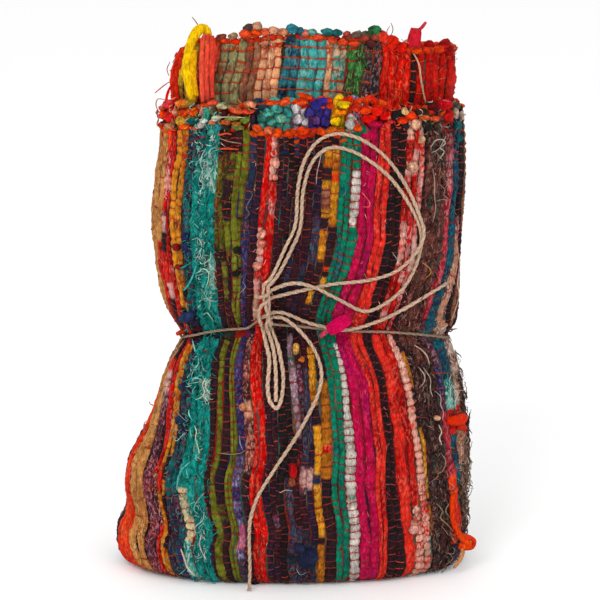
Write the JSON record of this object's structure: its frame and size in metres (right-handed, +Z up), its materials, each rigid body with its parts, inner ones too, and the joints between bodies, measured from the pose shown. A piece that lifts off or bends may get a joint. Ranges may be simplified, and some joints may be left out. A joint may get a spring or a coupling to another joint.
{
  "type": "rolled rag rug",
  "caption": "Woven rag rug folded lengthwise, rolled up to stand on its folded edge and tied round the waist with jute twine in a bow.",
  "frame": {"origin": "middle of the flat base of the roll, on the floor", "axes": "+Z up along the roll, -Y the front with the knot and the bow, +X to the right seen from the front"},
  "size_m": [0.3364, 0.1646, 0.515],
  "materials": {
    "cotton_rag": "matt woven cotton rag in many colours",
    "jute_twine": "natural two-ply jute, hairy"
  },
  "bodies": {
    "root": {"rug_roll": "cotton_rag", "tie_band": "jute_twine", "tie_knot": "jute_twine", "bow_outer": "jute_twine", "bow_inner": "jute_twine", "hang_outer": "jute_twine", "hang_inner": "jute_twine", "end_right": "jute_twine", "end_down": "jute_twine"}
  },
  "joints": []
}
